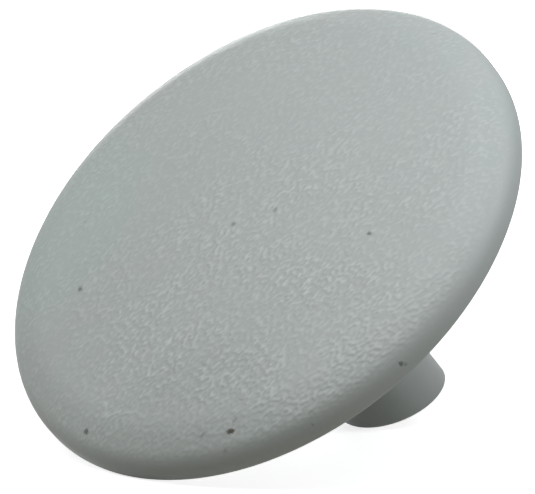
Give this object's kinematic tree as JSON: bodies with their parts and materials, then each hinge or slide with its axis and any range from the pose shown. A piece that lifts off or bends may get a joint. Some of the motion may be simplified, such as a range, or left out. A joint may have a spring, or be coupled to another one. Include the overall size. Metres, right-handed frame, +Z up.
{
  "type": "screw cover cap",
  "caption": "Moulded plastic cover cap: a thin round head with a grained, slightly crowned face and rounded rim, and a solid round pin behind, lying loose on its rim and pin end.",
  "frame": {"origin": "on the surface that the cap lies on, under the middle of its box", "axes": "+Z up; +X across the face, along the diameter that lies level; the face looks towards -Y and up, and the pin points towards +Y and down, with its end on the surface"},
  "size_m": [0.02, 0.0159, 0.015],
  "materials": {
    "cap_plastic": "pale grey moulded plastic, fine spark-eroded grain on the face and rim, smoother pin"
  },
  "bodies": {
    "root": {"cover_cap": "cap_plastic"}
  },
  "joints": []
}
